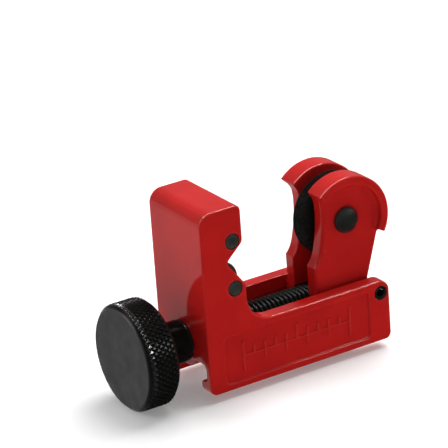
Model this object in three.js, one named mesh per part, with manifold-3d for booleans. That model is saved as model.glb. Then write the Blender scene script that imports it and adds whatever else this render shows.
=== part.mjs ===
// A small screw-feed tube cutter for 3 to 22 mm pipe.
//
// A C-shaped frame carries two pipe rollers on its upright. A forked carriage with the cutter
// wheel slides along a channel in the frame's beam, drawn by a feed screw that a knurled knob
// turns from behind the upright.
//
// Units are millimetres. While the parts are drawn, x = 0 is the frame's rear face, +X points to
// the open end of the beam, y = 0 is the plane of symmetry and z = 0 is the frame's bottom. The
// exported group moves all this so that its origin is at the centre of the bounding box's bottom.

import * as THREE from 'three';
import { mergeVertices } from 'three/addons/utils/BufferGeometryUtils.js';
import Module from 'manifold-3d';

const wasm = await Module();
wasm.setup();

// ---------------------------------------------------------------- driving dimensions

const PIPE_LARGEST = 22;          // outside diameter of the largest pipe
const FRAME = { length: 53, width: 23, height: 47, beam: 16, upright: 11.9, edge: 0.6 };
const NOTCH = { x: 6.9, z: 33, lowerZ: 26.4, upperZ: 37.4, round: 0.9 };
const FILLET_RADIUS = 6.8;        // where the upright meets the beam
const PANEL = { x0: 4.9, x1: 46.7, z0: 1.9, z1: 14, depth: 0.45, corner: 1.2 };
const CHANNEL = { lip: 7.2, groove: 9.7, slot: 7.7, grooveZ0: 3.4, grooveZ1: 12.4, corner: 0.7 };
const REAR_ARCH_TOP = 7.75;
const ROLLER_POCKET = { depthX: 3.7, z0: 20.9, z1: 43.3, half: 5.8 };

const SCREW = { z: 11.4, major: 4, journal: 3.9, pitch: 1.25, start: 11.95, end: 47.8, chamfer: 0.8 };
const FEED_TURNS = 18;
const BOSS_RADIUS = 6.4;          // round the screw's bearing in the upright
const BEARING_CLEARANCE = 0.3;

const KNOB = { radius: 13.5, x0: -17.35, x1: -8.75, chamfer: 1.1, hub: 5.3, bore: 4.2, boreDepth: 2.2 };
const OUTER_WASHER = { x0: -0.75, x1: -0.1, outer: 5.1, inner: 4.2 };
const INNER_WASHER = { x0: 10.95, x1: 11.75, outer: 4.9, inner: 4.2 };
const COUNTERBORE = { x: 10.85, radius: 5.15 };
const CROSS_PIN = { x: -4.9, radius: 1, hole: 1.25, lean: 64.5 };

const ROLLER_PIN = { radius: 1.8, hole: 2, x: 8.85, upperZ: 38.2, lowerZ: 26.05 };
const ROLLER = { radius: 4.6, half: 5.3, bore: 2.1, grooveHalf: 1.5, grooveRadius: 2.8, edge: 0.5 };
const STOP_PIN = { radius: 1.75, hole: 1.95, bore: 1.1, x: 50.5, z: 12.8, slit: 0.45 };

const AXLE = { x: 44.2, z: 32.7, radius: 2, hole: 2.25, headRadius: 3.4, headHeight: 1.9, farEnd: 8.3 };
const CLIP = { y0: 7.1, y1: 7.8, outer: 3.3, inner: 1.65, grooveRadius: 1.5 };
const WHEEL = {
  radius: 10.75, hubHalf: 2.6, hubRadius: 4.4, discHalf: 0.9, bevelRadius: 8.6, bore: 2.25,
};
const HOOD = { outer: 11.75, inner: 9.5, half: 8.8, rear: -28, front: 134.5, edge: 0.4 };
const EAR = { half: 6.9, base: 15.2, gapHalf: 3, gapFloor: 14 };
const EAR_BACK = { lowX: 49.9, highX: 53.5, highZ: 27 };
const EAR_FRONT = {
  brow: [37.2, 39.4], hollow: [38.5, 34.2], waist: [36.7, 26.4], flare: [36.1, 23.4], footZ: 22.2,
};
const SADDLE = {
  front: 34.6, rear: 48.2, bottom: 3.9, wingTop: 12, wingHalf: 9.3, neckHalf: 7.3, neckTop: 15,
};

// Values that follow from the ones above.
const OVERALL = {
  middle: (KNOB.x0 + AXLE.x + HOOD.outer) / 2,
  bottom: SCREW.z - KNOB.radius,
};
const FEED_TRAVEL = FEED_TURNS * SCREW.pitch;
const NEAREST_FACE = SADDLE.front - FEED_TRAVEL;
if (NEAREST_FACE <= FRAME.upright) {
  throw new Error('the carriage would run into the upright');
}
const JAW = AXLE.x - WHEEL.radius - ROLLER_PIN.x - ROLLER.radius;
if (JAW + ROLLER.radius < PIPE_LARGEST) {
  throw new Error('the jaw is too small for the largest pipe');
}

// ---------------------------------------------------------------- geometry helpers

const rad = THREE.MathUtils.degToRad;

// A closed outline through corners [u, v, radius], each rounded by an arc of its radius.
function outline(corners) {
  const shape = new THREE.Shape();
  corners.forEach(([u, v, radius = 0], i) => {
    const corner = new THREE.Vector2(u, v);
    const before = new THREE.Vector2(...corners.at(i - 1)).sub(corner).normalize();
    const after = new THREE.Vector2(...corners[(i + 1) % corners.length]).sub(corner).normalize();
    const half = Math.acos(before.dot(after)) / 2;
    const reach = radius / Math.tan(half);
    const start = corner.clone().addScaledVector(before, reach);
    if (i === 0) shape.moveTo(start.x, start.y);
    else shape.lineTo(start.x, start.y);
    if (radius === 0) return;
    const end = corner.clone().addScaledVector(after, reach);
    const inward = before.clone().add(after).normalize();
    const centre = corner.clone().addScaledVector(inward, radius / Math.sin(half));
    const from = start.sub(centre).angle();
    const to = end.sub(centre).angle();
    shape.absarc(centre.x, centre.y, radius, from, to, before.cross(after) > 0);
  });
  shape.closePath();
  return shape;
}

function rectangle(u0, v0, u1, v1, radius = 0) {
  return outline([[u0, v0, radius], [u1, v0, radius], [u1, v1, radius], [u0, v1, radius]]);
}

function extrusion(shape, depth, edge, curveSegments) {
  return new THREE.ExtrudeGeometry(shape, {
    depth: depth - 2 * edge,
    curveSegments,
    bevelEnabled: edge > 0,
    bevelThickness: edge,
    bevelSize: edge,
    bevelOffset: -edge,
    bevelSegments: 2,
  }).translate(0, 0, edge);
}

// An outline in (x, z), extruded from y0 to y1, with its edges rounded by edge.
function alongY(shape, y0, y1, edge = 0, curveSegments = 4) {
  return extrusion(shape, y1 - y0, edge, curveSegments).rotateX(Math.PI / 2).translate(0, y1, 0);
}

// An outline in (y, z), extruded from x0 to x1.
function alongX(shape, x0, x1, edge = 0, curveSegments = 4) {
  const turn = new THREE.Matrix4().set(0, 0, 1, 0, 1, 0, 0, 0, 0, 1, 0, 0, 0, 0, 0, 1);
  return extrusion(shape, x1 - x0, edge, curveSegments).applyMatrix4(turn).translate(x0, 0, 0);
}

// A profile of [radius, x] points, from low x to high x on its outside, turned round the X axis.
function turnedX(profile, z = 0, segments = 48) {
  const points = profile.map(([r, x]) => new THREE.Vector2(r, x));
  return new THREE.LatheGeometry(points, segments).rotateZ(-Math.PI / 2).translate(0, 0, z);
}

// A profile of [radius, y] points turned round the line through (x, z) parallel to Y.
function turnedY(profile, x, z, segments = 40) {
  const points = profile.map(([r, y]) => new THREE.Vector2(r, y));
  return new THREE.LatheGeometry(points, segments).translate(x, 0, z);
}

function rodX(radius, x0, x1, z, segments = 32) {
  return turnedX([[0, x0], [radius, x0], [radius, x1], [0, x1]], z, segments);
}

function rodY(radius, y0, y1, x, z, segments = 24) {
  return turnedY([[0, y0], [radius, y0], [radius, y1], [0, y1]], x, z, segments);
}

function box(x0, y0, z0, x1, y1, z1) {
  const size = [x1 - x0, y1 - y0, z1 - z0];
  return new THREE.BoxGeometry(...size).translate((x0 + x1) / 2, (y0 + y1) / 2, (z0 + z1) / 2);
}

// The same geometry as a solid that can be joined and cut.
function solid(geometry) {
  const bare = geometry.clone();
  bare.deleteAttribute('normal');
  bare.deleteAttribute('uv');
  const merged = mergeVertices(bare, 1e-4);
  const corners = [...merged.index.array];
  const triVerts = [];
  for (let i = 0; i < corners.length; i += 3) {
    const [a, b, c] = corners.slice(i, i + 3);
    if (a !== b && b !== c && c !== a) triVerts.push(a, b, c);
  }
  return new wasm.Manifold(new wasm.Mesh({
    numProp: 3,
    vertProperties: merged.getAttribute('position').array,
    triVerts: new Uint32Array(triVerts),
  }));
}

function combined(base, added, cut) {
  let result = solid(base);
  for (const piece of added) result = result.add(solid(piece));
  for (const piece of cut) result = result.subtract(solid(piece));
  return surface(result);
}

function surface(made) {
  const { vertProperties, triVerts } = made.getMesh();
  const geometry = new THREE.BufferGeometry();
  geometry.setAttribute('position', new THREE.BufferAttribute(new Float32Array(vertProperties), 3));
  geometry.setIndex(new THREE.BufferAttribute(new Uint32Array(triVerts), 1));
  geometry.computeVertexNormals();
  return geometry;
}

// ---------------------------------------------------------------- materials

function enamel() {
  return new THREE.MeshStandardMaterial({ color: 0xb01f1c, roughness: 0.3, metalness: 0 });
}

function blackOxide() {
  return new THREE.MeshStandardMaterial({ color: 0x22231f, roughness: 0.45, metalness: 0.6 });
}

function springSteel() {
  return new THREE.MeshStandardMaterial({ color: 0x3a3c36, roughness: 0.4, metalness: 0.8 });
}

const assembly = new THREE.Group();

function addPart(name, geometry, material) {
  const mesh = new THREE.Mesh(geometry, material);
  mesh.name = name;
  assembly.add(mesh);
}

// ---------------------------------------------------------------- frame

function frameProfile() {
  const front = FRAME.upright;
  return outline([
    [0, 0, 2],
    [FRAME.length, 0, 1.6],
    [FRAME.length, FRAME.beam, 3],
    [front, FRAME.beam, FILLET_RADIUS],
    [front, NOTCH.lowerZ, 1.5],
    [NOTCH.x, NOTCH.z, NOTCH.round],
    [front - 0.2, NOTCH.upperZ, 1.5],
    [front - 0.2, FRAME.height, 1.6],
    [0, FRAME.height, 3.5],
  ]);
}

// The channel that the carriage slides in: a mouth between two lips, a groove and a top slot.
function channelSection(top) {
  const { lip, groove, slot, grooveZ0, grooveZ1, corner } = CHANNEL;
  const right = [[lip, -1, 0], [lip, grooveZ0, 0.8], [groove, grooveZ0, corner]];
  right.push([groove, grooveZ1, corner], [slot, grooveZ1, 0.4], [slot, top, 0]);
  return outline([...right, ...mirrored(right)]);
}

function archSection() {
  const { lip, groove, grooveZ0, corner } = CHANNEL;
  const right = [[lip, -1, 0], [lip, grooveZ0, 0.8], [groove, grooveZ0, corner]];
  right.push([groove, REAR_ARCH_TOP, 1.5]);
  return outline([...right, ...mirrored(right)]);
}

function mirrored(corners) {
  return corners.map(([y, z, radius]) => [-y, z, radius]).reverse();
}

function sidePanels() {
  const shape = rectangle(PANEL.x0, PANEL.z0, PANEL.x1, PANEL.z1, PANEL.corner);
  const face = FRAME.width / 2;
  return [
    alongY(shape, face - PANEL.depth, face + 1),
    alongY(shape, -face - 1, -face + PANEL.depth),
  ];
}

function frame() {
  const half = FRAME.width / 2;
  const pocket = ROLLER_POCKET;
  const pocketEnd = FRAME.upright + 2;
  const archEnd = FRAME.upright + 0.5;
  const hull = combined(
    alongY(frameProfile(), -half, half, FRAME.edge, 5),
    [],
    [
      alongX(channelSection(NOTCH.lowerZ - 2), FRAME.upright, FRAME.length + 1),
      alongX(archSection(), -1, archEnd),
    ],
  );
  return combined(
    hull,
    [rodX(BOSS_RADIUS, 0, FRAME.upright, SCREW.z)],
    [
      rodX(SCREW.journal + BEARING_CLEARANCE, -1, archEnd, SCREW.z),
      rodX(COUNTERBORE.radius, COUNTERBORE.x, archEnd, SCREW.z),
      alongY(rectangle(pocket.depthX, pocket.z0, pocketEnd, pocket.z1, 1), -pocket.half, pocket.half),
      rodY(ROLLER_PIN.hole, -half - 1, half + 1, ROLLER_PIN.x, ROLLER_PIN.upperZ),
      rodY(ROLLER_PIN.hole, -half - 1, half + 1, ROLLER_PIN.x, ROLLER_PIN.lowerZ),
      rodY(STOP_PIN.hole, -half - 1, half + 1, STOP_PIN.x, STOP_PIN.z),
      ...sidePanels(),
    ],
  );
}

// ---------------------------------------------------------------- pins and rollers

function rollerPin(z) {
  const end = FRAME.width / 2 - 0.1;
  const { radius, x } = ROLLER_PIN;
  const chamfer = 0.25;
  return turnedY([
    [0, -end],
    [radius - chamfer, -end],
    [radius, -end + chamfer],
    [radius, end - chamfer],
    [radius - chamfer, end],
    [0, end],
  ], x, z, 24);
}

// A rolled spring pin: a tube with a slit along it.
function stopPin() {
  const end = FRAME.width / 2 - 0.1;
  const { radius, bore, x, z, slit } = STOP_PIN;
  return combined(
    rodY(radius, -end, end, x, z, 28),
    [],
    [
      rodY(bore, -end - 1, end + 1, x, z, 20),
      box(x, -end - 1, z - slit / 2, x + radius + 1, end + 1, z + slit / 2),
    ],
  );
}

// A hardened roller with a groove that lets the wheel's edge pass between the pair.
function roller(z) {
  const { radius, half, bore, grooveHalf, grooveRadius, edge } = ROLLER;
  return turnedY([
    [bore, -half],
    [radius - edge, -half],
    [radius, -half + edge],
    [radius, -grooveHalf - 0.4],
    [radius - 0.4, -grooveHalf],
    [grooveRadius, -grooveHalf + 0.3],
    [grooveRadius, grooveHalf - 0.3],
    [radius - 0.4, grooveHalf],
    [radius, grooveHalf + 0.4],
    [radius, half - edge],
    [radius - edge, half],
    [bore, half],
    [bore, -half],
  ], ROLLER_PIN.x, z, 36);
}

// ---------------------------------------------------------------- feed screw and knob

function feedScrew() {
  const { journal, major, start, end, chamfer, z } = SCREW;
  const rear = KNOB.x1 - 1.5;
  return combined(
    turnedX([
      [0, rear],
      [journal - 0.4, rear],
      [journal, rear + 0.4],
      [journal, start],
      [major, start],
      [major, end - chamfer],
      [major - chamfer, end],
      [0, end],
    ], z, 40),
    [],
    [crossPinRod(CROSS_PIN.hole, journal + 1)],
  );
}

// A rod across the hub through the screw's axis, leaning from the horizontal.
function crossPinRod(radius, halfLength) {
  const rod = rodY(radius, -halfLength, halfLength, 0, 0, 20);
  return rod.rotateX(rad(CROSS_PIN.lean)).translate(CROSS_PIN.x, 0, SCREW.z);
}

function knob() {
  const { radius, x0, x1, chamfer, hub, bore, boreDepth } = KNOB;
  const hubEnd = OUTER_WASHER.x0 - 0.05;
  return combined(
    turnedX([
      [0, x0],
      [radius - chamfer, x0],
      [radius, x0 + chamfer],
      [radius, x1 - chamfer],
      [radius - chamfer, x1],
      [hub + 0.8, x1],
      [hub, x1 + 0.8],
      [hub, hubEnd - 0.4],
      [hub - 0.4, hubEnd],
      [0, hubEnd],
    ], SCREW.z, 60),
    [],
    [rodX(bore, x1 - boreDepth, hubEnd + 1, SCREW.z), crossPinRod(CROSS_PIN.hole, hub + 1)],
  );
}

function washer({ x0, x1, outer, inner }) {
  return turnedX([[inner, x0], [outer, x0], [outer, x1], [inner, x1], [inner, x0]], SCREW.z, 36);
}

// ---------------------------------------------------------------- carriage

// The side of one ear: up the front edge, round the hood and down the back to the saddle.
function earProfile() {
  const { front, rear, wingTop } = SADDLE;
  const { brow, hollow, waist, flare, footZ } = EAR_FRONT;
  const shape = new THREE.Shape();
  shape.moveTo(front, wingTop - 1);
  shape.lineTo(rear, wingTop - 1);
  shape.lineTo(rear, EAR.base);
  shape.lineTo(EAR_BACK.lowX, EAR.base);
  shape.lineTo(EAR_BACK.highX, EAR_BACK.highZ);
  shape.absarc(AXLE.x, AXLE.z, HOOD.outer, rad(HOOD.rear), rad(HOOD.front), false);
  shape.lineTo(...brow);
  shape.quadraticCurveTo(...hollow, ...waist);
  shape.quadraticCurveTo(...flare, front, footZ);
  shape.closePath();
  return shape;
}

// The raised rim of the hood, round the ears' outer faces.
function hoodProfile() {
  const shape = new THREE.Shape();
  shape.absarc(AXLE.x, AXLE.z, HOOD.outer, rad(HOOD.rear), rad(HOOD.front), false);
  shape.absarc(AXLE.x, AXLE.z, HOOD.inner, rad(HOOD.front), rad(HOOD.rear), true);
  shape.closePath();
  return shape;
}

function carriage() {
  const { front, rear, bottom, wingTop, wingHalf, neckHalf } = SADDLE;
  const above = AXLE.z + HOOD.outer + 1;
  const wings = rectangle(-wingHalf, bottom, wingHalf, wingTop, 0.9);
  return combined(
    alongY(earProfile(), -EAR.half, EAR.half, 0, 12),
    [
      alongY(hoodProfile(), -HOOD.half, HOOD.half, HOOD.edge, 12),
      alongX(wings, front, rear, 0.4, 3),
      box(front, -neckHalf, bottom + 1, rear, neckHalf, SADDLE.neckTop),
    ],
    [
      box(front - 5, -EAR.gapHalf, EAR.gapFloor, rear + 12, EAR.gapHalf, above),
      rodX(SCREW.major + BEARING_CLEARANCE, front - 1, rear + 2, SCREW.z, 36),
      rodY(AXLE.hole, -EAR.half - 1, EAR.half + 1, AXLE.x, AXLE.z),
    ],
  );
}

// The wheel's pin: a domed head against the near ear and a clip groove beyond the far one.
function wheelAxle() {
  const { radius, headRadius, headHeight, farEnd, x, z } = AXLE;
  const seat = -EAR.half - 0.1;
  const crown = seat - headHeight;
  return turnedY([
    [0, crown],
    [headRadius * 0.45, crown + 0.12],
    [headRadius * 0.8, crown + 0.5],
    [headRadius, crown + 1.1],
    [headRadius, seat],
    [radius, seat],
    [radius, CLIP.y0 - 0.1],
    [CLIP.grooveRadius, CLIP.y0 - 0.1],
    [CLIP.grooveRadius, CLIP.y1 + 0.1],
    [radius, CLIP.y1 + 0.1],
    [radius - 0.3, farEnd],
    [0, farEnd],
  ], x, z, 32);
}

// An open retaining ring in the axle's groove.
function axleClip() {
  const { y0, y1, outer, inner } = CLIP;
  const { x, z } = AXLE;
  return combined(
    rodY(outer, y0, y1, x, z, 32),
    [],
    [
      rodY(inner, y0 - 1, y1 + 1, x, z, 24),
      box(x - inner * 0.8, y0 - 1, z - outer - 1, x + inner * 0.8, y1 + 1, z),
    ],
  );
}

// A wheel with a wide hub and a thin disc bevelled on both sides to a sharp edge.
function cutterWheel() {
  const { radius, hubHalf, hubRadius, discHalf, bevelRadius, bore } = WHEEL;
  const edgeHalf = 0.05;
  const rise = [
    [bore, -hubHalf],
    [hubRadius - 0.3, -hubHalf],
    [hubRadius, -hubHalf + 0.3],
    [hubRadius + 0.3, -discHalf - 0.2],
    [bevelRadius, -discHalf],
    [radius, -edgeHalf],
  ];
  const fall = rise.map(([r, y]) => [r, -y]).reverse();
  return turnedY([...rise, ...fall, rise[0]], AXLE.x, AXLE.z, 48);
}

// ---------------------------------------------------------------- assembly

addPart('frame', frame(), enamel());
addPart('upper_roller_pin', rollerPin(ROLLER_PIN.upperZ), springSteel());
addPart('lower_roller_pin', rollerPin(ROLLER_PIN.lowerZ), springSteel());
addPart('upper_roller', roller(ROLLER_PIN.upperZ), springSteel());
addPart('lower_roller', roller(ROLLER_PIN.lowerZ), springSteel());
addPart('end_stop_pin', stopPin(), blackOxide());
addPart('knob', knob(), blackOxide());
addPart('knob_cross_pin', crossPinRod(CROSS_PIN.radius, KNOB.hub - 0.15), springSteel());
addPart('feed_screw', feedScrew(), blackOxide());
addPart('outer_thrust_washer', washer(OUTER_WASHER), springSteel());
addPart('inner_thrust_washer', washer(INNER_WASHER), springSteel());
addPart('carriage', carriage(), enamel());
addPart('wheel_axle', wheelAxle(), blackOxide());
addPart('axle_clip', axleClip(), springSteel());
addPart('cutter_wheel', cutterWheel(), blackOxide());

assembly.position.set(-OVERALL.middle, 0, -OVERALL.bottom);

export default assembly;
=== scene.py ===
"""A small screw-feed tube cutter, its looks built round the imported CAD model.

Lengths are millimetres in the tool's own frame until a mesh is made: x = 0 is the frame's rear face, +X
points to the open end of the beam, y = 0 is the plane of symmetry and z = 0 is the frame's bottom.
The two castings are distance fields with rounded joins, turned into meshes; what is turned on a lathe
is a profile swept round its axis.
"""
import itertools
import math

import bpy
import numpy as np
from mathutils import Matrix, Vector


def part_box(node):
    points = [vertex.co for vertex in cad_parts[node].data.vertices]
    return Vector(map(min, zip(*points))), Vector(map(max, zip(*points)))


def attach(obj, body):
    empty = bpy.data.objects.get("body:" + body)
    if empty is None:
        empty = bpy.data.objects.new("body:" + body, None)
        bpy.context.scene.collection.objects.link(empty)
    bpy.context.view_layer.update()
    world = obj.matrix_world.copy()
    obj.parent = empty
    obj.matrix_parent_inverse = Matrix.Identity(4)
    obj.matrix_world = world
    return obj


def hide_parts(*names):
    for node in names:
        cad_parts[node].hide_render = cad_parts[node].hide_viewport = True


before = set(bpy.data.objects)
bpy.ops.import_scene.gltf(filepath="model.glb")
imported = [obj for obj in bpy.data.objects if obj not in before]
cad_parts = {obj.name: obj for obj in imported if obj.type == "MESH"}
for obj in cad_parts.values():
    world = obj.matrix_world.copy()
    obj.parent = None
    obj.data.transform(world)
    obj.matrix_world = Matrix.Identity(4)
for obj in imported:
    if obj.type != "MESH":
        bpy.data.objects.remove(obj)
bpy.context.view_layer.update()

# ------------------------------------------------------------------ sizes from the CAD model

MM = 0.001
FRAME_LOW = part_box("frame")[0]
ORIGIN = Vector((FRAME_LOW.x, 0.0, FRAME_LOW.z))


def span(node, axis):
    """Where a CAD node starts and ends along X, Y or Z, in millimetres in the tool's frame."""
    low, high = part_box(node)
    i = "xyz".index(axis)
    return (low[i] - ORIGIN[i]) / MM, (high[i] - ORIGIN[i]) / MM


def middle(node, axis):
    return sum(span(node, axis)) / 2


def radius_of(node, axis):
    """Half of a CAD node's extent along an axis, which is the radius of a round piece."""
    low, high = span(node, axis)
    return (high - low) / 2


LENGTH = span("frame", "x")[1]
HALF_WIDTH = span("frame", "y")[1]
HEIGHT = span("frame", "z")[1]
SCREW_Z = middle("feed_screw", "z")
KNOB_RADIUS = radius_of("knob", "z")
AXLE_X = middle("cutter_wheel", "x")
AXLE_Z = middle("cutter_wheel", "z")
WHEEL_RADIUS = radius_of("cutter_wheel", "x")
PIN_X = middle("upper_roller_pin", "x")
PIN_Z = {"upper": middle("upper_roller_pin", "z"), "lower": middle("lower_roller_pin", "z")}
STOP_X = middle("end_stop_pin", "x")
STOP_Z = middle("end_stop_pin", "z")
SADDLE_FRONT = span("carriage", "x")[0]

# The three axes that pieces are turned round, each a direction and a point.
SCREW_AXIS = ((1, 0, 0), (0, 0, SCREW_Z))
AXLE_AXIS = ((0, 1, 0), (AXLE_X, 0, AXLE_Z))
ROLLER_AXIS = {which: ((0, 1, 0), (PIN_X, 0, z)) for which, z in PIN_Z.items()}

# How round an edge is where it is machined, eased or cast.
CRISP, EASED, CAST = 0.2, 0.3, 0.5

# Sizes of the frame casting.
BEAM_TOP = 16.0
UPRIGHT = 11.9
NOSE = UPRIGHT - 0.2
BOSS = {"radius": 6.4, "start": 0.3, "end": UPRIGHT - 0.6}
COUNTERBORE = {"radius": 5.1, "depth": 1.05}
NOTCH = {"x": 6.9, "z": 33.0, "low": 26.4, "high": 37.4, "root": 0.9, "side": 1.5}
FILLET = 6.8
LIP, GROOVE, SLOT = 7.2, 9.7, 7.7
GROOVE_LOW, GROOVE_TOP = 3.4, 12.4
ARCH_TOP, ARCH_DEPTH = 7.75, 1.5
SLOT_START = UPRIGHT + 0.15
PANEL = {"box": (4.9, 1.9, 46.7, 14.0), "corner": 0.9, "depth": 0.5, "root": 0.15, "rim": 0.42}
POCKET = {"box": (3.7, 20.9, UPRIGHT + 4, 43.3), "corner": 1.0, "half": 5.8}
PIN_HOLE, STOP_HOLE = 1.98, 1.85

# The raised scale on the side panels. A row of marks has a pitch, a short reach and a long one.
SCALE = {"start": 10.0, "end": 41.0, "z": 8.0, "half": 0.3}
MARK = {"half": 0.4, "sunk": 0.05, "rise": 0.36, "draft": 0.14, "long_every": 5}
MARK_ROWS = ((3.1, 2.4, 4.0), (6.2, -2.4, -4.0))

# Sizes of the carriage casting. The ears lie a little inside the hoods, and their edges are rounder
# towards the rollers than they are behind the axle.
HOOD_OUTER, HOOD_INNER, HOOD_HALF = 11.6, 9.5, 8.8
HOOD_REAR, HOOD_FRONT = -28.0, 134.5
HOOD_EDGE, HOOD_STEP = 0.4, 0.9
EAR_HALF, EAR_BASE, EAR_INSET = 6.9, 15.2, 1.0
EAR_EDGE = {"behind": 0.7, "added": 0.4, "over": 4.0}
BROW, BROW_BEND = (37.2, 39.4), (38.5, 34.2)
WAIST, WAIST_BEND = (36.7, 26.4), (36.1, 23.4)
FOOT_Z = 22.2
EAR_BACK = [(49.9, EAR_BASE), (53.5, 27.0)]
GAP = {"half": 3.0, "floor": 14.0, "root": 0.8, "rim": 0.4}
SADDLE_REAR, SADDLE_BOTTOM, SADDLE_EDGE = 48.2, 3.9, 0.4
WING = {"half": 9.3, "top": 12.0, "edge": 0.9}
NECK = {"half": 7.3, "top": 15.0, "edge": 0.6}
NUT_CLEARANCE = 0.3
AXLE_HOLE, AXLE_HOLE_EDGE = 2.15, 0.25

# Sizes of the turned pieces.
THREAD = {"major": 4.0, "depth": 0.72, "pitch": 1.25, "start": 12.4, "flank": 1.45, "crest": 0.25}
THREAD_FADE, THREAD_TIP, THREAD_STEPS = 0.8, 0.8, 12
JOURNAL = 3.9
BEARING = JOURNAL + 0.25
HUB_RADIUS = 5.3
KNOB_HEAD = (span("knob", "x")[0], -8.75)
KNOB_CHAMFER = 1.1
KNOB_BORE = 1.8
KNURL = {"starts": 60, "samples": 8, "slant": 0.75, "depth": 0.5, "flank": 1.25, "from": 0.7}
CROSS_PIN = {"radius": 1.0, "chamfer": 0.15, "inset": 0.1, "lean": 64.5}
WASHER = {"bore": 4.2, "edge": 0.12}
ROLLER_PIN = {"radius": 1.9, "chamfer": 0.18, "inset": 0.06}
ROLLER = {"radius": 4.6, "bore": 2.05, "groove": 1.5, "bottom": 2.8, "draft": 0.4}
WHEEL = {"edge": 0.04, "disc": 0.9, "rim": 8.6, "hub": 4.4, "hub_half": 2.6, "bore": 2.2}
AXLE = {"radius": 2.0, "head": 3.4, "neck": 1.5, "gap": 0.08}
STOP_PIN = {"middle": 1.4, "half_wall": 0.34, "half_slit": 0.22, "inset": 0.1, "edge": 0.12}
CLIP = {"middle": 2.45, "half_wall": 0.8, "mouth": 1.3, "edge": 0.12}

# The grids that the castings and the split pieces are meshed on. A casting's grid is finer within
# reach of some of its edges; those of the frame's panels are taken a little inside its sides.
CELL = {"frame": 0.4, "carriage": 0.3, "stop_pin": 0.17, "clip": 0.14}
FINE = {"reach": 0.55, "step": 0.15, "inset": 0.2}


# ------------------------------------------------------------------ outlines

def rounded(corners, steps=6):
    """A closed outline through corners (u, v, radius), each rounded by an arc of its radius."""
    points = []
    count = len(corners)
    for i, (u, v, radius) in enumerate(corners):
        corner = Vector((u, v))
        before = (Vector(corners[i - 1][:2]) - corner).normalized()
        after = (Vector(corners[(i + 1) % count][:2]) - corner).normalized()
        if radius == 0:
            points.append(tuple(corner))
            continue
        half = math.acos(max(-1.0, min(1.0, before.dot(after)))) / 2
        centre = corner + (before + after).normalized() * (radius / math.sin(half))
        start = corner + before * (radius / math.tan(half)) - centre
        end = corner + after * (radius / math.tan(half)) - centre
        turn = math.atan2(start.x * end.y - start.y * end.x, start.dot(end))
        for k in range(steps + 1):
            angle = math.atan2(start.y, start.x) + turn * k / steps
            points.append((centre.x + radius * math.cos(angle), centre.y + radius * math.sin(angle)))
    return points


def rounded_box(u0, v0, u1, v1, radius, steps=6):
    return rounded([(u0, v0, radius), (u1, v0, radius), (u1, v1, radius), (u0, v1, radius)], steps)


def arc(cx, cz, radius, start, end):
    """Points of an arc from start to end, in degrees."""
    steps = 40
    angles = np.radians(np.linspace(start, end, steps + 1))
    return [(cx + radius * math.cos(a), cz + radius * math.sin(a)) for a in angles]


def bezier(start, control, end):
    """Points of a quadratic curve, without its first point."""
    steps = 12
    a, b, c = Vector(start), Vector(control), Vector(end)
    along = [k / steps for k in range(1, steps + 1)]
    return [tuple(a * (1 - t) ** 2 + b * (2 * t * (1 - t)) + c * t * t) for t in along]


# ------------------------------------------------------------------ distance fields, negative inside

def polygon_field(points):
    """The signed distance to a closed outline, as a function of two coordinates."""
    ends = points[1:] + points[:1]
    edges = [(p, q) for p, q in zip(points, ends) if math.dist(p, q) > 1e-6]

    def field(u, v):
        shape = np.broadcast(u, v).shape
        nearest = np.full(shape, np.inf)
        inside = np.zeros(shape, bool)
        for (au, av), (bu, bv) in edges:
            eu, ev = bu - au, bv - av
            du, dv = u - au, v - av
            t = np.clip((du * eu + dv * ev) / (eu * eu + ev * ev), 0.0, 1.0)
            nearest = np.minimum(nearest, (du - t * eu) ** 2 + (dv - t * ev) ** 2)
            if ev != 0.0:
                crosses = (av > v) != (bv > v)
                inside = inside ^ (crosses & (u < au + eu * dv / ev))
        return np.where(inside, -1.0, 1.0) * np.sqrt(nearest)

    return field


def both(a, b, radius):
    """What is inside both fields, with the edge between them rounded to radius."""
    corner = np.hypot(np.maximum(a + radius, 0.0), np.maximum(b + radius, 0.0))
    return np.minimum(-radius, np.maximum(a, b)) + corner


def either(a, b, radius):
    """What is inside either field, with a fillet of radius between them."""
    return -both(-a, -b, radius)


def without(a, b, radius):
    """What is inside a and not b, with the edge rounded to radius."""
    return both(a, -b, radius)


def slab(x, low, high):
    return np.maximum(low - x, x - high)


# ------------------------------------------------------------------ meshes

def add_object(name, mesh, body, slot, material, *nodes):
    """Puts a finished mesh on its CAD body, in place of the CAD nodes it stands for."""
    obj = bpy.data.objects.new(name, mesh)
    bpy.context.scene.collection.objects.link(obj)
    mesh.materials.append(material)
    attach(obj, body)
    if nodes:
        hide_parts(*nodes)


def new_mesh(name, points, faces):
    """A smooth-shaded mesh from points in millimetres in the tool's frame."""
    mesh = bpy.data.meshes.new(name)
    mesh.from_pydata((np.asarray(points) * MM + np.array(ORIGIN)).tolist(), [], faces)
    mesh.polygons.foreach_set("use_smooth", [True] * len(mesh.polygons))
    mesh.validate()
    return mesh


def slope(field, points, step):
    """The field's gradient at each point, from samples a step to either side."""
    columns = []
    for axis in range(3):
        shift = np.zeros(3)
        shift[axis] = step
        ahead = field(*(points + shift).T)
        behind = field(*(points - shift).T)
        columns.append((ahead - behind) / (2 * step))
    return np.stack(columns, axis=1)


def stations(low, high, cell, places):
    """Grid coordinates from below low to above high, closer together near the given places."""
    margin = 1.4 * cell
    coords = [low - margin]
    while coords[-1] < high + margin:
        near = any(abs(coords[-1] - place) < FINE["reach"] for place in places)
        coords.append(coords[-1] + (FINE["step"] if near else cell))
    return np.array(coords)


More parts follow.
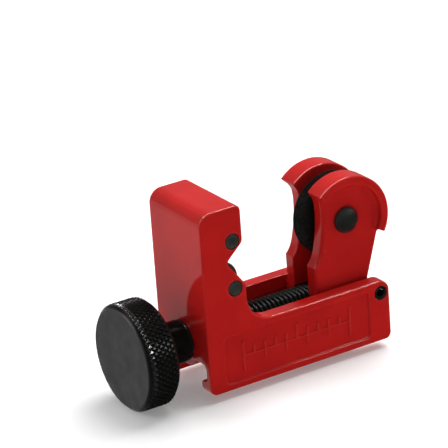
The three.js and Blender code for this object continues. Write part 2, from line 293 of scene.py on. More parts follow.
def crossing_points(values, cells):
    """For each cell that the surface passes through, the mean of its crossings with the cell's edges."""
    total = np.zeros((len(cells), 3))
    hits = np.zeros(len(cells))
    for axis in range(3):
        step = np.eye(3, dtype=int)[axis]
        for corner in itertools.product((0, 1), repeat=3):
            if corner[axis]:
                continue
            a = cells + np.array(corner)
            va = values[tuple(a.T)]
            vb = values[tuple((a + step).T)]
            crossed = (va < 0) != (vb < 0)
            share = va[crossed] / (va[crossed] - vb[crossed])
            total[crossed] += a[crossed] + share[:, None] * step
            hits += crossed
    return total / hits[:, None]


def cell_faces(inside, number):
    """One quad for each grid edge that the surface crosses, with a corner in each cell round the edge."""
    quads = []
    unit = np.eye(3, dtype=int)
    for axis in range(3):
        j, k = unit[(axis + 1) % 3], unit[(axis + 2) % 3]
        ahead = np.roll(inside, -1, axis=axis)
        changes = inside != ahead
        for i in range(3):
            edge = [slice(None)] * 3
            edge[i] = [0, -1]
            changes[tuple(edge)] = False
        at = np.argwhere(changes)
        corners = [at - j - k, at - k, at, at - j]
        quad = np.stack([number[tuple(c.T)] for c in corners], axis=1)
        outward = inside[tuple(at.T)]
        quads.append(np.where(outward[:, None], quad, quad[:, ::-1]))
    return np.concatenate(quads)


def onto_surface(field, points, reach):
    """Moves points to where the field is zero, in three steps of at most reach."""
    for _ in range(3):
        normal = slope(field, points, 0.05)
        length = np.maximum(np.linalg.norm(normal, axis=1), 0.3)
        move = np.clip(field(*points.T) / length, -reach, reach)
        points = points - normal / length[:, None] * move[:, None]
    return points


def field_mesh(name, field, low, high, cell, places=((), (), ())):
    """The surface of a distance field as a mesh, its points moved on to the surface and its normals taken
    from the field's gradient."""
    axes = [stations(a, b, cell, near) for a, b, near in zip(low, high, places)]
    x, y, z = np.meshgrid(*axes, indexing="ij", sparse=True)
    values = np.ascontiguousarray(np.broadcast_to(field(x, y, z), tuple(len(a) for a in axes)))
    inside = values < 0
    size = np.array(values.shape) - 1
    count = np.zeros(size, np.int8)
    for i, j, k in itertools.product((0, 1), repeat=3):
        count += inside[i:i + size[0], j:j + size[1], k:k + size[2]]
    mixed = (count > 0) & (count < 8)
    cells = np.argwhere(mixed)
    number = np.full(mixed.shape, -1)
    number[mixed] = np.arange(len(cells))
    crossings = crossing_points(values, cells).T
    points = np.stack([np.interp(c, np.arange(len(a)), a) for c, a in zip(crossings, axes)], axis=1)
    points = onto_surface(field, points, 0.4 * cell)
    normal = slope(field, points, 0.08)
    normal /= np.maximum(np.linalg.norm(normal, axis=1), 1e-6)[:, None]
    mesh = new_mesh(name, points, cell_faces(inside, number).tolist())
    mesh.normals_split_custom_set_from_vertices(normal.tolist())
    return mesh


def axis_matrix(direction, point):
    """The turn and the shift that lay a piece drawn round the X axis along direction through point."""
    turn = Vector((1, 0, 0)).rotation_difference(Vector(direction)).to_matrix()
    return np.array(turn), np.array(point, float)


def turned_mesh(name, profile, axis, segments, closed=False, relief=None, sharp=35.0):
    """A profile of (along, radius) points swept round an axis. relief(along, radius, angle) may change the
    radii. An open profile starts and ends at radius 0, where it closes on a single point."""
    turn, base = axis_matrix(*axis)
    angles = np.linspace(0.0, 2 * math.pi, segments, endpoint=False)
    rings = profile if closed else profile[1:-1]
    along = np.array([p[0] for p in rings])[:, None]
    radius = np.array([p[1] for p in rings])[:, None] * np.ones(segments)
    if relief:
        radius = relief(along, radius, angles[None, :])
    local = np.stack([along + 0 * radius, radius * np.cos(angles), radius * np.sin(angles)], axis=-1)
    points = local.reshape(-1, 3)
    rows = len(rings)
    ring = np.arange(segments)
    following = (ring + 1) % segments
    faces = []
    for row in range(rows if closed else rows - 1):
        a = row * segments
        b = (row + 1) % rows * segments
        faces += np.stack([a + ring, b + ring, b + following, a + following], axis=1).tolist()
    if not closed:
        first, last = len(points), len(points) + 1
        poles = [(profile[0][0], 0.0, 0.0), (profile[-1][0], 0.0, 0.0)]
        points = np.concatenate([points, poles])
        end = (rows - 1) * segments
        faces += [[first, int(i), int(j)] for i, j in zip(ring, following)]
        faces += [[last, int(end + j), int(end + i)] for i, j in zip(ring, following)]
    mesh = new_mesh(name, points @ turn.T + base, [face[::-1] for face in faces])
    mesh.set_sharp_from_angle(angle=math.radians(sharp))
    return mesh


def spaced(start, end, step):
    """Even steps from start to end, about as long as step."""
    count = max(1, round((end - start) / step))
    return [start + (end - start) * i / count for i in range(count + 1)]


# ------------------------------------------------------------------ materials

class Shader:
    """A material and short ways to add nodes to it. Coordinates are the object's own, in millimetres."""

    def __init__(self, name):
        self.material = bpy.data.materials.new(name)
        self.material.use_nodes = True
        self.tree = self.material.node_tree
        self.bsdf = self.tree.nodes["Principled BSDF"]
        place = self.tree.nodes.new("ShaderNodeTexCoord")
        scale = self.tree.nodes.new("ShaderNodeVectorMath")
        scale.operation = "SCALE"
        scale.inputs["Scale"].default_value = 1 / MM
        self.join(place.outputs["Object"], scale.inputs[0])
        self.place = scale.outputs["Vector"]

    def join(self, output, socket):
        self.tree.links.new(output, socket)

    def set(self, **values):
        for name, value in values.items():
            self.bsdf.inputs[name.replace("_", " ")].default_value = value

    def noise(self, scale, detail, roughness=0.5):
        """Noise with scale bumps to the millimetre."""
        made = self.tree.nodes.new("ShaderNodeTexNoise")
        made.inputs["Scale"].default_value = scale
        made.inputs["Detail"].default_value = detail
        made.inputs["Roughness"].default_value = roughness
        self.join(self.place, made.inputs["Vector"])
        return made.outputs["Fac"]

    def ramp(self, value, low, high, start=0.0, end=1.0):
        """value from low to high becomes start to end."""
        made = self.tree.nodes.new("ShaderNodeMapRange")
        for name, number in zip(("From Min", "From Max", "To Min", "To Max"), (low, high, start, end)):
            made.inputs[name].default_value = number
        self.join(value, made.inputs["Value"])
        return made.outputs["Result"]

    def mix(self, share, first, second):
        """A colour from first to second, each a red, green and blue triple or an output."""
        made = self.tree.nodes.new("ShaderNodeMix")
        made.data_type = "RGBA"
        self.join(share, made.inputs["Factor"])
        colour_a, colour_b = made.inputs[6], made.inputs[7]
        for socket, value in ((colour_a, first), (colour_b, second)):
            if isinstance(value, tuple):
                socket.default_value = (*value, 1)
            else:
                self.join(value, socket)
        return made.outputs[2]

    def math(self, operation, first, second):
        made = self.tree.nodes.new("ShaderNodeMath")
        made.operation = operation
        for socket, value in zip(made.inputs, (first, second)):
            if isinstance(value, (int, float)):
                socket.default_value = value
            else:
                self.join(value, socket)
        return made.outputs[0]

    def edges(self):
        """0 on flat and hollow places to 1 on outer edges."""
        made = self.tree.nodes.new("ShaderNodeNewGeometry")
        return self.ramp(made.outputs["Pointiness"], 0.505, 0.56)

    def bump(self, height, distance, strength=1.0, below=None):
        """Bumps of distance millimetres, on top of the bumps below."""
        made = self.tree.nodes.new("ShaderNodeBump")
        made.inputs["Distance"].default_value = distance * MM
        made.inputs["Strength"].default_value = strength
        self.join(height, made.inputs["Height"])
        if below:
            self.join(below, made.inputs["Normal"])
        return made.outputs["Normal"]

    def along(self):
        """How far along the tool a point is, in the tool's frame."""
        split = self.tree.nodes.new("ShaderNodeSeparateXYZ")
        self.join(self.place, split.inputs[0])
        return self.math("SUBTRACT", split.outputs["X"], ORIGIN.x / MM)

    def rings(self, scale):
        """Lathe marks round the screw's axis."""
        made = self.tree.nodes.new("ShaderNodeTexWave")
        made.wave_type = "RINGS"
        made.rings_direction = "X"
        made.inputs["Scale"].default_value = scale
        made.inputs["Distortion"].default_value = 0.6
        made.inputs["Detail"].default_value = 2.0
        shift = self.tree.nodes.new("ShaderNodeVectorMath")
        shift.operation = "SUBTRACT"
        shift.inputs[1].default_value = (0.0, 0.0, SCREW_Z + ORIGIN.z / MM)
        self.join(self.place, shift.inputs[0])
        self.join(shift.outputs["Vector"], made.inputs["Vector"])
        return made.outputs["Fac"]


def enamel():
    """Gloss red enamel over a die casting with slight orange peel; a painted highlight makes the outer
    edges paler in patches.
    """
    deep, bright, edge_highlight_red = (0.46, 0.0105, 0.0095), (0.52, 0.0125, 0.011), (0.62, 0.05, 0.035)
    s = Shader("red_enamel")
    tone = s.ramp(s.noise(0.09, 4.0), 0.35, 0.65)
    body = s.mix(tone, deep, bright)
    # Painted highlight: a paler red is painted on the outer edges, in patches, to stand for light caught on
    # them.
    edge_highlight_share = s.math("MULTIPLY", s.edges(), s.ramp(s.noise(1.6, 5.0, 0.7), 0.35, 0.7))
    s.join(s.mix(s.math("MULTIPLY", edge_highlight_share, 0.5), body, edge_highlight_red), s.bsdf.inputs["Base Color"])
    s.join(s.ramp(s.noise(0.7, 4.0), 0.3, 0.7, 0.30, 0.42), s.bsdf.inputs["Roughness"])
    peel = s.bump(s.noise(0.55, 2.0), 0.035)
    s.join(s.bump(s.noise(6.0, 3.0), 0.0035, below=peel), s.bsdf.inputs["Normal"])
    s.set(Coat_Weight=0.8, Coat_Roughness=0.07, Coat_IOR=1.5, IOR=1.45, Specular_IOR_Level=0.0)
    return s.material


def blackened(name, colour, roughness, shine, grain, grain_height):
    """Oxide-blackened steel: colour and gloss vary a little, edges rub paler, the surface has a grain."""
    s = Shader(name)
    tone = s.ramp(s.noise(0.5, 5.0), 0.35, 0.7)
    pale = tuple(c * 1.9 for c in colour)
    worn = tuple(c * 5 + 0.02 for c in colour)
    body = s.mix(tone, colour, pale)
    rub = s.math("MULTIPLY", s.edges(), s.ramp(s.noise(2.5, 5.0, 0.7), 0.4, 0.75))
    s.join(s.mix(s.math("MULTIPLY", rub, 0.6), body, worn), s.bsdf.inputs["Base Color"])
    gloss = s.ramp(s.noise(1.8, 5.0), 0.3, 0.7, roughness * 0.8, roughness * 1.25)
    s.join(gloss, s.bsdf.inputs["Roughness"])
    s.join(s.bump(s.noise(grain, 4.0, 0.6), grain_height), s.bsdf.inputs["Normal"])
    s.set(Metallic=0.1, IOR=1.5, Specular_IOR_Level=shine)
    return s.material


def knob_black():
    """Black: satin on the turned face, dull on the rim and rubbed to a shine where the knurl starts."""
    deep, pale, rubbed = (0.004, 0.004, 0.0038), (0.008, 0.008, 0.0075), (0.08, 0.08, 0.075)
    face = KNOB_HEAD[0]
    s = Shader("knob_black")
    tone = s.ramp(s.noise(0.35, 5.0), 0.35, 0.7)
    body = s.mix(tone, deep, pale)
    rub = s.math("MULTIPLY", s.edges(), s.ramp(s.noise(3.0, 5.0, 0.7), 0.4, 0.8))
    s.join(s.mix(s.math("MULTIPLY", rub, 0.35), body, rubbed), s.bsdf.inputs["Base Color"])
    along = s.along()
    smoother = s.ramp(along, face + 0.1, face + 0.5, 1.0, 0.5)
    satin = s.ramp(s.noise(0.25, 5.0, 0.6), 0.3, 0.7, 0.36, 0.56)
    s.join(s.math("MULTIPLY", smoother, satin), s.bsdf.inputs["Roughness"])
    flat = s.ramp(along, face + 0.1, face + 0.4, 0.5, 0.06)
    handled = s.ramp(along, face + 1.6, face + 2.2, 0.6, 0.0)
    crests = s.ramp(along, face + 0.8, face + 1.1)
    shine = s.math("ADD", flat, s.math("MULTIPLY", crests, handled))
    s.join(shine, s.bsdf.inputs["Specular IOR Level"])
    marks = s.bump(s.rings(2.6), 0.004, 0.5)
    s.join(s.bump(s.noise(5.0, 4.0), 0.006, below=marks), s.bsdf.inputs["Normal"])
    s.set(Metallic=0.0, IOR=1.5)
    return s.material


RED = enamel()
KNOB_BLACK = knob_black()
OXIDE = blackened("black_oxide", (0.005, 0.007, 0.006), 0.24, 0.12, 3.0, 0.004)
RIVET = blackened("rivet_black", (0.008, 0.010, 0.008), 0.10, 0.6, 1.5, 0.3)
STEEL = blackened("dark_steel", (0.022, 0.026, 0.020), 0.42, 0.5, 4.0, 0.006)


# ------------------------------------------------------------------ frame casting

def frame_outline():
    """The frame seen from its side, through (x, z, rounding) corners."""
    return rounded([
        (0, 0, 2.0),
        (LENGTH, 0, 1.6),
        (LENGTH, BEAM_TOP, 3.0),
        (UPRIGHT, BEAM_TOP, FILLET),
        (UPRIGHT, NOTCH["low"], NOTCH["side"]),
        (NOTCH["x"], NOTCH["z"], NOTCH["root"]),
        (NOSE, NOTCH["high"], NOTCH["side"]),
        (NOSE, HEIGHT, 1.6),
        (0, HEIGHT, 3.5),
    ], 10)


def half_section(corners):
    """One half of a symmetric hollow in (|y|, z), reaching past the middle."""
    past = -3.0
    return polygon_field(rounded([(past, corners[0][1], 0), *corners, (past, corners[-1][1], 0)]))


# The hollows under the tool, drawn from below the frame's bottom; the channel goes on past its top.
BELOW, ABOVE = -2.0, 60.0
LEDGE = [(LIP, BELOW, 0), (LIP, GROOVE_LOW, 0.8), (GROOVE, GROOVE_LOW, 0.7)]
CHANNEL = half_section(LEDGE + [(GROOVE, GROOVE_TOP, 0.7), (SLOT, GROOVE_TOP, 0.4), (SLOT, ABOVE, 0)])
ARCH = half_section(LEDGE + [(GROOVE, ARCH_TOP, 1.5)])
SIDE = polygon_field(frame_outline())
PANEL_SHAPE = polygon_field(rounded_box(*PANEL["box"], PANEL["corner"]))
POCKET_SHAPE = polygon_field(rounded_box(*POCKET["box"], POCKET["corner"]))


def hole(x, z, cx, cz, radius):
    return np.hypot(x - cx, z - cz) - radius


def frame_field(x, y, z):
    across = np.abs(y)
    body = both(SIDE(x, z), across - HALF_WIDTH, CAST)
    channel = np.maximum(CHANNEL(across, z), SLOT_START - x)
    arch = np.maximum(ARCH(across, z), x - UPRIGHT - ARCH_DEPTH)
    body = without(body, np.minimum(channel, arch), CRISP)
    reach = np.hypot(y, z - SCREW_Z)
    boss = both(reach - BOSS["radius"], slab(x, BOSS["start"], BOSS["end"]), EASED)
    body = either(body, boss, CAST)
    body = without(body, reach - BEARING, EASED)
    counterbore = np.maximum(reach - COUNTERBORE["radius"], UPRIGHT - COUNTERBORE["depth"] - x)
    body = without(body, counterbore, CRISP)
    pocket = both(POCKET_SHAPE(x, z), across - POCKET["half"], EASED)
    body = without(body, pocket, CAST)
    for pin_z in PIN_Z.values():
        body = without(body, hole(x, z, PIN_X, pin_z, PIN_HOLE), CRISP)
    body = without(body, hole(x, z, STOP_X, STOP_Z, STOP_HOLE), CRISP)
    panel = both(PANEL_SHAPE(x, z), HALF_WIDTH - PANEL["depth"] - across, PANEL["root"])
    return without(body, panel, PANEL["rim"])


def frame_casting():
    low = (0.0, -HALF_WIDTH, 0.0)
    high = (LENGTH, HALF_WIDTH, HEIGHT)
    x0, z0, x1, z1 = PANEL["box"]
    side = HALF_WIDTH - FINE["inset"]
    places = ((0, x0, x1, LENGTH), (-side, side), (0, z0, z1, BEAM_TOP, HEIGHT))
    mesh = field_mesh("frame_casting", frame_field, low, high, CELL["frame"], places)
    add_object("frame_casting", mesh, "frame", "red_enamel", RED, "frame")


def ridge(x0, z0, x1, z1, side):
    """Eight corners and six faces of one raised bar on a side panel, its walls drawn in towards its top."""
    floor = HALF_WIDTH - PANEL["depth"] - MARK["sunk"]
    points = []
    for inset, height in ((0.0, floor), (MARK["draft"], floor + MARK["rise"])):
        left, right, low, high = x0 + inset, x1 - inset, z0 + inset, z1 - inset
        corners = ((left, low), (right, low), (right, high), (left, high))
        points += [(x, side * height, z) for x, z in corners]
    faces = [(0, 3, 2, 1), (4, 5, 6, 7), (0, 1, 5, 4), (1, 2, 6, 5), (2, 3, 7, 6), (3, 0, 4, 7)]
    return points, [face if side < 0 else face[::-1] for face in faces]


def scale_bars():
    """The scale's bars as (x0, z0, x1, z1): a base line, close marks above it and wide ones below."""
    start, end, line = SCALE["start"], SCALE["end"], SCALE["z"]
    bars = [(start - MARK["half"], line - SCALE["half"], end + MARK["half"], line + SCALE["half"])]
    for pitch, short, long in MARK_ROWS:
        for i in range(round((end - start) / pitch) + 1):
            x = start + i * pitch
            reach = line + (short if i % MARK["long_every"] else long)
            bars.append((x - MARK["half"], min(line, reach), x + MARK["half"], max(line, reach)))
    return bars


def panel_scale(side, name):
    """A plain graduated scale on one side panel; side is -1 for the near one and 1 for the far one."""
    points, faces = [], []
    for bar in scale_bars():
        corners, sides = ridge(*bar, side)
        faces += [tuple(len(points) + i for i in face) for face in sides]
        points += corners
    mesh = new_mesh(name, points, faces)
    mesh.set_sharp_from_angle(angle=math.radians(20))
    add_object(name, mesh, "frame", "red_enamel", RED)


# ------------------------------------------------------------------ carriage casting

def ear_outline():
    foot = (SADDLE_FRONT, FOOT_Z)
    inside = WING["top"] - 1
    points = [(SADDLE_FRONT, inside), (SADDLE_REAR, inside), (SADDLE_REAR, EAR_BASE)]
    points += EAR_BACK
    points += arc(AXLE_X, AXLE_Z, HOOD_OUTER - EAR_INSET, HOOD_REAR, HOOD_FRONT)
    points.append(BROW)
    points += bezier(BROW, BROW_BEND, WAIST)
    points += bezier(WAIST, WAIST_BEND, foot)
    return points


def hood_outline():
    outer = arc(AXLE_X, AXLE_Z, HOOD_OUTER, HOOD_REAR, HOOD_FRONT)
    return outer + arc(AXLE_X, AXLE_Z, HOOD_INNER, HOOD_FRONT, HOOD_REAR)


EAR = polygon_field(ear_outline())
HOOD = polygon_field(hood_outline())


def saddle_part(across, z, along, size):
    """A block of the saddle between its bottom and size's top, its long edges rounded to size's edge."""
    section = both(across - size["half"], slab(z, SADDLE_BOTTOM, size["top"]), size["edge"])
    return both(section, along, SADDLE_EDGE)


def carriage_field(x, y, z):
    across = np.abs(y)
    ear_edge = EAR_EDGE["behind"] + EAR_EDGE["added"] * np.clip((AXLE_X - x) / EAR_EDGE["over"], 0.0, 1.0)
    body = both(EAR(x, z), across - EAR_HALF, ear_edge)
    body = either(body, both(HOOD(x, z), across - HOOD_HALF, HOOD_EDGE), HOOD_STEP)
    along = slab(x, SADDLE_FRONT, SADDLE_REAR)
    saddle = np.minimum(saddle_part(across, z, along, NECK), saddle_part(across, z, along, WING))
    body = either(body, saddle, EASED)
    body = both(body, SADDLE_FRONT - x, CRISP)
    gap = both(across - GAP["half"], GAP["floor"] - z, GAP["root"])
    body = without(body, gap, GAP["rim"])
    body = without(body, np.hypot(y, z - SCREW_Z) - THREAD["major"] - NUT_CLEARANCE, EASED)
    return without(body, hole(x, z, AXLE_X, AXLE_Z, AXLE_HOLE), AXLE_HOLE_EDGE)


def carriage_casting():
    low = (SADDLE_FRONT, -WING["half"], SADDLE_BOTTOM)
    high = (AXLE_X + HOOD_OUTER, WING["half"], AXLE_Z + HOOD_OUTER)
    walls = [side * y for side in (-1, 1) for y in (GAP["half"], EAR_HALF, HOOD_HALF)]
    mesh = field_mesh("carriage_casting", carriage_field, low, high, CELL["carriage"], ((), walls, ()))
    add_object("carriage_casting", mesh, "carriage", "red_enamel", RED, "carriage")


# ------------------------------------------------------------------ knob and feed screw

KNURL_PITCH = 2 * math.pi * KNOB_RADIUS / KNURL["starts"]


def knurl(along, radius, angle):
    """Two families of slanting grooves cut the knob's rim into pyramids."""
    first, last = KNOB_HEAD
    turns = KNURL["starts"] * angle / (2 * math.pi)
    lean = KNURL["slant"] * (along - first) / KNURL_PITCH
    height = np.minimum(np.abs((turns + lean) % 1 - 0.5), np.abs((turns - lean) % 1 - 0.5)) * 2
    cut = KNOB_RADIUS - KNURL["depth"] * (1 - np.minimum(1.0, KNURL["flank"] * height))
    knurled = (along > first + KNURL["from"]) & (along < last)
    return np.where(knurled, np.minimum(radius, cut), radius)


def knob_profile():
    """From the flat outer face, over the rim and the hub, into the bore that takes the screw."""
    first, last = KNOB_HEAD
    end = span("knob", "x")[1]
    chamfer = KNOB_CHAMFER
    outer = KNOB_RADIUS - chamfer
    step = KNURL_PITCH / KNURL["slant"] / KNURL["samples"]
    face = [(first, r) for r in (0.0, 2.0, 5.0, 8.0, 11.0, outer - 0.45, outer - 0.1)]
    front = [(first + chamfer * t, outer - 0.1 + (chamfer + 0.1) * t) for t in (0.1, 0.3, 0.5, 0.7, 0.85)]
    rim = [(x, KNOB_RADIUS) for x in spaced(first + chamfer, last - chamfer, step)]
    back = [(last - chamfer * (1 - t), KNOB_RADIUS - chamfer * t) for t in (0.3, 0.65, 1.0)]
    root = [(last, 9.5), (last, 7.0), (last + 0.12, HUB_RADIUS + 0.45), (last + 0.5, HUB_RADIUS + 0.1)]
    hub = [(last + 0.9, HUB_RADIUS), (end - 3, HUB_RADIUS), (end - 0.4, HUB_RADIUS)]
    lip = [(end - 0.1, HUB_RADIUS - 0.1), (end, HUB_RADIUS - 0.45)]
    bore = [(end, BEARING), (last - KNOB_BORE, BEARING), (last - KNOB_BORE, 0.0)]
    return face + front + rim + back + root + hub + lip + bore


def knob():
    segments = KNURL["starts"] * KNURL["samples"]
    mesh = turned_mesh("knurled_knob", knob_profile(), SCREW_AXIS, segments, relief=knurl)
    add_object("knurled_knob", mesh, "feed", "black_knob", KNOB_BLACK, "knob")


def thread(along, radius, angle):
    """A right-hand thread with flats at its crest and root, which fades out at its start."""
    phase = along / THREAD["pitch"] - angle / (2 * math.pi)
    rise = np.abs(phase % 1 - 0.5) * 2
    groove = THREAD["depth"] * np.clip(THREAD["flank"] * rise - THREAD["crest"], 0.0, 1.0)
    fade = np.clip((along - THREAD["start"]) / THREAD_FADE, 0.0, 1.0)
    return np.where(along > THREAD["start"], np.minimum(radius, THREAD["major"] - groove * fade), radius)


def feed_screw():
    rear, end = span("feed_screw", "x")
    major = THREAD["major"]
    shoulder = UPRIGHT + 0.05
    tip_start = end - THREAD_TIP
    plain = [(rear, 0.0), (rear, 2.0), (rear, JOURNAL - 0.4), (rear + 0.4, JOURNAL)]
    collar = [(shoulder - 0.1, JOURNAL), (shoulder, JOURNAL + 0.1)]
    collar += [(shoulder, major - 0.15), (shoulder + 0.15, major)]
    cut = [(x, major) for x in spaced(THREAD["start"], tip_start, THREAD["pitch"] / THREAD_STEPS)]
    tip = [(tip_start + t, major - t) for t in (0.12, 0.26, 0.4, 0.54, 0.68, 0.8)]
    shape = plain + collar + cut + tip + [(end, 2.5), (end, 0.0)]
    mesh = turned_mesh("feed_screw_thread", shape, SCREW_AXIS, 72, relief=thread, sharp=50)
    add_object("feed_screw_thread", mesh, "feed", "black_oxide", OXIDE, "feed_screw")


def washer(node, outer):
    first, last = span(node, "x")
    ring = rounded_box(first, WASHER["bore"], last, outer, WASHER["edge"], 3)
    mesh = turned_mesh(node + "_ring", ring[::-1], SCREW_AXIS, 72, closed=True)
    add_object(node + "_ring", mesh, "feed", "black_oxide", OXIDE, node)


def pin_profile(reach, radius, chamfer):
    """A rod from -reach to reach with a slightly rounded chamfer at both ends."""
    end = [(-reach, 0.0), (-reach, radius * 0.6), (-reach, radius - chamfer - 0.05)]
    end += [(-reach + 0.06, radius - chamfer), (-reach + chamfer, radius - 0.04)]
    end += [(-reach + chamfer + 0.08, radius)]
    return end + [(-x, r) for x, r in reversed(end)]


def cross_pin():
    lean = math.radians(CROSS_PIN["lean"])
    axis = ((0, math.cos(lean), math.sin(lean)), (middle("knob_cross_pin", "x"), 0, SCREW_Z))
    shape = pin_profile(HUB_RADIUS - CROSS_PIN["inset"], CROSS_PIN["radius"], CROSS_PIN["chamfer"])
    mesh = turned_mesh("knob_pin", shape, axis, 32)
    add_object("knob_pin", mesh, "feed", "dark_steel", STEEL, "knob_cross_pin")


# ------------------------------------------------------------------ rollers, pins, wheel and axle

def roller_pin(which):
    node = which + "_roller_pin"
    shape = pin_profile(HALF_WIDTH - ROLLER_PIN["inset"], ROLLER_PIN["radius"], ROLLER_PIN["chamfer"])
    mesh = turned_mesh(node + "_rod", shape, ROLLER_AXIS[which], 56)
    add_object(node + "_rod", mesh, "frame", "dark_steel", STEEL, node)


def roller(which):
    """A roller with a groove in which the wheel's edge runs."""
    node = which + "_roller"
    end = span(node, "y")[1]
    radius, bore, groove, bottom = (ROLLER[key] for key in ("radius", "bore", "groove", "bottom"))
    floor = groove - ROLLER["draft"]
    ring = rounded([
        (-end, bore, 0.2), (-end, radius, 0.45), (-groove, radius, 0.35), (-floor, bottom, 0.4),
        (floor, bottom, 0.4), (groove, radius, 0.35), (end, radius, 0.45), (end, bore, 0.2),
    ], 5)
    mesh = turned_mesh(node + "_ring", ring, ROLLER_AXIS[which], 72, closed=True)
    add_object(node + "_ring", mesh, node, "dark_steel", STEEL, node)


def stop_pin_field(x, y, z):
    """A rolled spring pin: a tube with a slit along it."""
    reach = np.hypot(x - STOP_X, z - STOP_Z)
    wall = np.abs(reach - STOP_PIN["middle"]) - STOP_PIN["half_wall"]
    tube = both(wall, np.abs(y) - HALF_WIDTH + STOP_PIN["inset"], STOP_PIN["edge"])
    slit = both(np.abs(z - STOP_Z) - STOP_PIN["half_slit"], STOP_X - x, 0.05)
    return without(tube, slit, 0.08)


def stop_pin():
    reach = 1.8
    low = (STOP_X - reach, -HALF_WIDTH, STOP_Z - reach)
    high = (STOP_X + reach, HALF_WIDTH, STOP_Z + reach)
    mesh = field_mesh("stop_pin_tube", stop_pin_field, low, high, CELL["stop_pin"])
    add_object("stop_pin_tube", mesh, "frame", "black_oxide", OXIDE, "end_stop_pin")


def cutter_wheel():
    """A disc that tapers to a fine edge, on a hub that spaces it from the ears."""
    disc, rim, hub, end, bore = (WHEEL[key] for key in ("disc", "rim", "hub", "hub_half", "bore"))
    side = [(end - 0.2, bore), (end, bore + 0.2), (end, hub - 0.35)]
    side += [(end - 0.1, hub - 0.1), (end - 0.35, hub)]
    side += [(disc + 0.75, hub + 0.05), (disc + 0.35, hub + 0.25), (disc + 0.15, hub + 0.7)]
    side += [(disc + 0.05, (hub + rim) / 2), (disc, rim), (WHEEL["edge"], WHEEL_RADIUS)]
    ring = [(-y, r) for y, r in side] + side[::-1]
    mesh = turned_mesh("cutter_wheel_disc", ring, AXLE_AXIS, 120, closed=True, sharp=20)
    add_object("cutter_wheel_disc", mesh, "cutter_wheel", "black_oxide", OXIDE, "cutter_wheel")


def wheel_axle():
    """A pin with a domed head on the near ear, grooved for the clip outside the far one."""
    crown, end = span("wheel_axle", "y")
    radius, head, neck = AXLE["radius"], AXLE["head"], AXLE["neck"]
    seat = -EAR_HALF - AXLE["gap"]
    rise = seat - crown - 0.2
    turns = [math.radians(a) for a in range(0, 91, 9)]
    dome = [(crown + rise * (1 - math.cos(a)), head * math.sin(a)) for a in turns]
    skirt = [(seat - 0.08, head), (seat, head - 0.1), (seat, radius)]
    clip_start, clip_end = span("axle_clip", "y")
    first, last = clip_start - 0.1, clip_end + 0.1
    groove = [(first, radius), (first, neck), (last, neck), (last, radius)]
    tip = [(end - 0.35, radius), (end - 0.1, radius - 0.2), (end, radius - 0.4), (end, 0.0)]
    mesh = turned_mesh("wheel_rivet", dome + skirt + groove + tip, AXLE_AXIS, 72)
    add_object("wheel_rivet", mesh, "carriage", "black_oxide", RIVET, "wheel_axle")


def clip_field(x, y, z):
    """A flat ring, open downwards, round the axle's neck."""
    wall = np.abs(np.hypot(x - AXLE_X, z - AXLE_Z) - CLIP["middle"]) - CLIP["half_wall"]
    ring = both(wall, slab(y, *span("axle_clip", "y")), CLIP["edge"])
    mouth = both(np.abs(x - AXLE_X) - CLIP["mouth"], z - AXLE_Z, 0.1)
    return without(ring, mouth, CRISP)


def axle_clip():
    reach = 3.3
    first, last = span("axle_clip", "y")
    low = (AXLE_X - reach, first, AXLE_Z - reach)
    high = (AXLE_X + reach, last, AXLE_Z + reach)
    mesh = field_mesh("axle_e_clip", clip_field, low, high, CELL["clip"])
    add_object("axle_e_clip", mesh, "carriage", "dark_steel", STEEL, "axle_clip")


# ------------------------------------------------------------------ camera, floor and lights

# Angles are degrees, the lens and the sensor millimetres. The distance and the two offsets, to the
# camera's right and up, are millimetres from the tool's origin.
CAMERA = {"azimuth": -31.0, "elevation": 22.24, "roll": -4.14, "lens": 241.07, "sensor": 36.0}
CAMERA_DISTANCE = 729.0
CAMERA_ASIDE = (9.06, 38.43)

# The lights and the floor are in metres; the lights point at the tool.
AIM = (0.0, 0.0, 0.02)
FLOOR_REACH = 10.0

# The surroundings' strengths: even above the horizon, and a screen below it in one direction only.
ROOM = 0.30
SCREEN = {"strength": 0.58, "beside": 0.03, "towards": (-0.515, 0.857, 0.0), "fade": (0.2, 0.6)}
HORIZON = (-0.04, 0.06)


def camera():
    """Looks at the tool from where the photo was taken."""
    azimuth, elevation, roll = (math.radians(CAMERA[key]) for key in ("azimuth", "elevation", "roll"))
    outward = Vector((math.sin(azimuth), -math.cos(azimuth), 0))
    back = outward * math.cos(elevation) + Vector((0, 0, math.sin(elevation)))
    level = Vector((math.cos(azimuth), math.sin(azimuth), 0))
    upright = back.cross(level)
    right = level * math.cos(roll) + upright * math.sin(roll)
    up = upright * math.cos(roll) - level * math.sin(roll)
    place = (right * CAMERA_ASIDE[0] + up * CAMERA_ASIDE[1] + back * CAMERA_DISTANCE) * MM + ORIGIN
    data = bpy.data.cameras.new("camera")
    data.lens = CAMERA["lens"]
    data.sensor_width = CAMERA["sensor"]
    data.clip_start, data.clip_end = 0.01, 20
    obj = bpy.data.objects.new("camera", data)
    bpy.context.scene.collection.objects.link(obj)
    columns = Matrix((right, up, back)).transposed().to_4x4()
    obj.matrix_world = Matrix.Translation(place) @ columns
    bpy.context.scene.camera = obj


def area_light(name, place, size, watts):
    data = bpy.data.lights.new(name, "AREA")
    data.shape = "RECTANGLE"
    data.size, data.size_y = size
    data.energy = watts
    obj = bpy.data.objects.new(name, data)
    bpy.context.scene.collection.objects.link(obj)
    obj.location = place
    obj.rotation_euler = (Vector(AIM) - Vector(place)).to_track_quat("-Z", "Y").to_euler()
    return obj


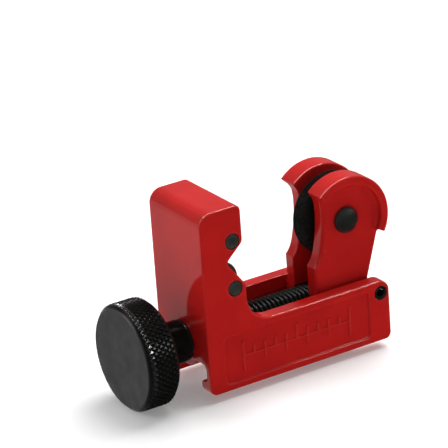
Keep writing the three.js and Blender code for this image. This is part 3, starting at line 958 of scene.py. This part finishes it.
def floor():
    mesh = bpy.data.meshes.new("floor")
    corners = [(u * FLOOR_REACH, v * FLOOR_REACH, 0) for u, v in ((-1, -1), (1, -1), (1, 1), (-1, 1))]
    mesh.from_pydata(corners, [], [(0, 1, 2, 3)])
    obj = bpy.data.objects.new("floor", mesh)
    bpy.context.scene.collection.objects.link(obj)
    s = Shader("pale_floor")
    tone = s.ramp(s.noise(0.02, 3.0), 0.3, 0.7)
    s.join(s.mix(tone, (0.80, 0.80, 0.80), (0.82, 0.82, 0.82)), s.bsdf.inputs["Base Color"])
    s.set(Roughness=0.9, Specular_IOR_Level=0.1, Emission_Color=(1, 1, 1, 1), Emission_Strength=0.2)
    mesh.materials.append(s.material)
    obj.visible_glossy = False


def surroundings():
    """A dim room, dark below the horizon but for a pale screen behind the tool that the enamel mirrors."""
    world = bpy.data.worlds.new("studio")
    world.use_nodes = True
    nodes, links = world.node_tree.nodes, world.node_tree.links

    def ramp(value, limits, start, end):
        """As value passes the limits, the result goes from start, a number or an output, to end."""
        made = nodes.new("ShaderNodeMapRange")
        made.interpolation_type = "SMOOTHSTEP"
        made.inputs["From Min"].default_value, made.inputs["From Max"].default_value = limits
        links.new(value, made.inputs["Value"])
        made.inputs["To Max"].default_value = end
        if isinstance(start, float):
            made.inputs["To Min"].default_value = start
        else:
            links.new(start, made.inputs["To Min"])
        return made.outputs["Result"]

    place = nodes.new("ShaderNodeTexCoord")
    split = nodes.new("ShaderNodeSeparateXYZ")
    towards = nodes.new("ShaderNodeVectorMath")
    towards.operation = "DOT_PRODUCT"
    towards.inputs[1].default_value = SCREEN["towards"]
    links.new(place.outputs["Generated"], split.inputs[0])
    links.new(place.outputs["Generated"], towards.inputs[0])
    screen = ramp(towards.outputs["Value"], SCREEN["fade"], SCREEN["beside"], SCREEN["strength"])
    light = ramp(split.outputs["Z"], HORIZON, screen, ROOM)
    nodes["Background"].inputs["Color"].default_value = (1, 1, 1, 1)
    links.new(light, nodes["Background"].inputs["Strength"])
    bpy.context.scene.world = world


def studio():
    floor()
    surroundings()
    key = area_light("key", (0.26, 0.10, 0.55), (0.55, 0.5), 5.2)
    key.visible_glossy = False
    strip = area_light("edge_strip", (-0.02, 0.05, 0.60), (0.85, 0.14), 11.5)
    strip.rotation_euler = (0, 0, 0)
    strip.visible_diffuse = False
    glint = area_light("glint", (0.26, -0.33, 0.29), (0.035, 0.035), 0.16)
    glint.visible_diffuse = False
    area_light("left_fill", (-0.50, 0.30, 0.30), (0.3, 0.3), 1.0)
    bpy.context.scene.view_settings.view_transform = "Standard"


# ------------------------------------------------------------------ the object

camera()
studio()
frame_casting()
panel_scale(-1, "near_scale")
panel_scale(1, "far_scale")
carriage_casting()
knob()
feed_screw()
washer("outer_thrust_washer", 5.1)
washer("inner_thrust_washer", 4.9)
cross_pin()
for which in ("upper", "lower"):
    roller_pin(which)
    roller(which)
stop_pin()
cutter_wheel()
wheel_axle()
axle_clip()
